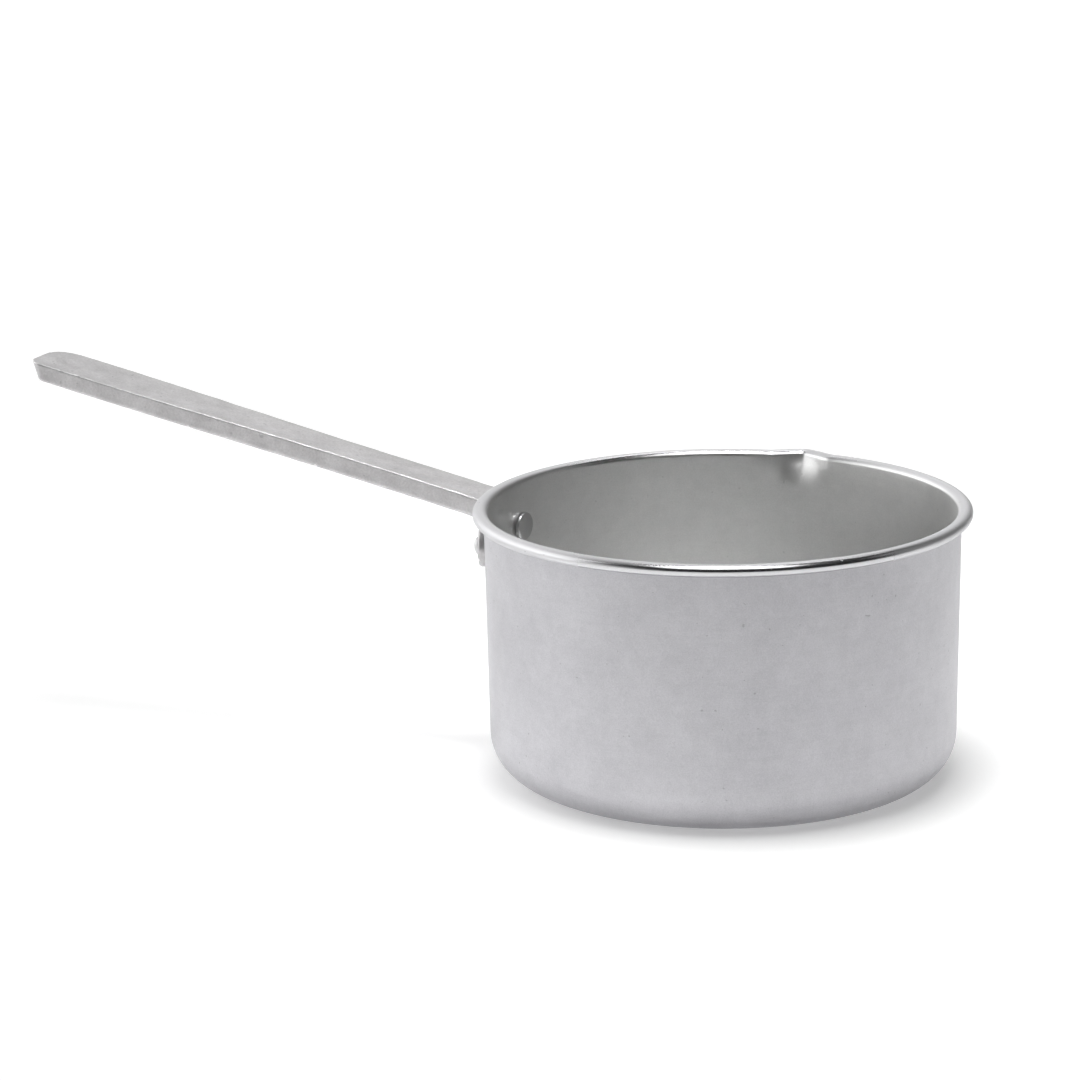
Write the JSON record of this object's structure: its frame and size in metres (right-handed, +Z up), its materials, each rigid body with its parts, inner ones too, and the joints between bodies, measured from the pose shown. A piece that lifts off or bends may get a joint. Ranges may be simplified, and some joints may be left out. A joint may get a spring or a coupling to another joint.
{
  "type": "candle melting pot",
  "caption": "Straight-sided aluminium melting pot with a rolled rim, a pinched pouring lip and a long riveted bar handle.",
  "frame": {"origin": "centre of the flat base, on the surface that the pot stands on", "axes": "+Z up out of the cup's mouth, the handle points along -X, and the pouring lip is near +Y"},
  "size_m": [0.3412, 0.1748, 0.1315],
  "materials": {
    "sheet_aluminium": "satin sheet with a glossier rolled rim",
    "cast_aluminium": "as-cast, lightly tumbled, with polished edges",
    "rivet_aluminium": "smooth, headed cold"
  },
  "bodies": {
    "root": {"pot": "sheet_aluminium", "handle": "cast_aluminium", "rivet_front": "rivet_aluminium", "rivet_back": "rivet_aluminium"}
  },
  "joints": []
}
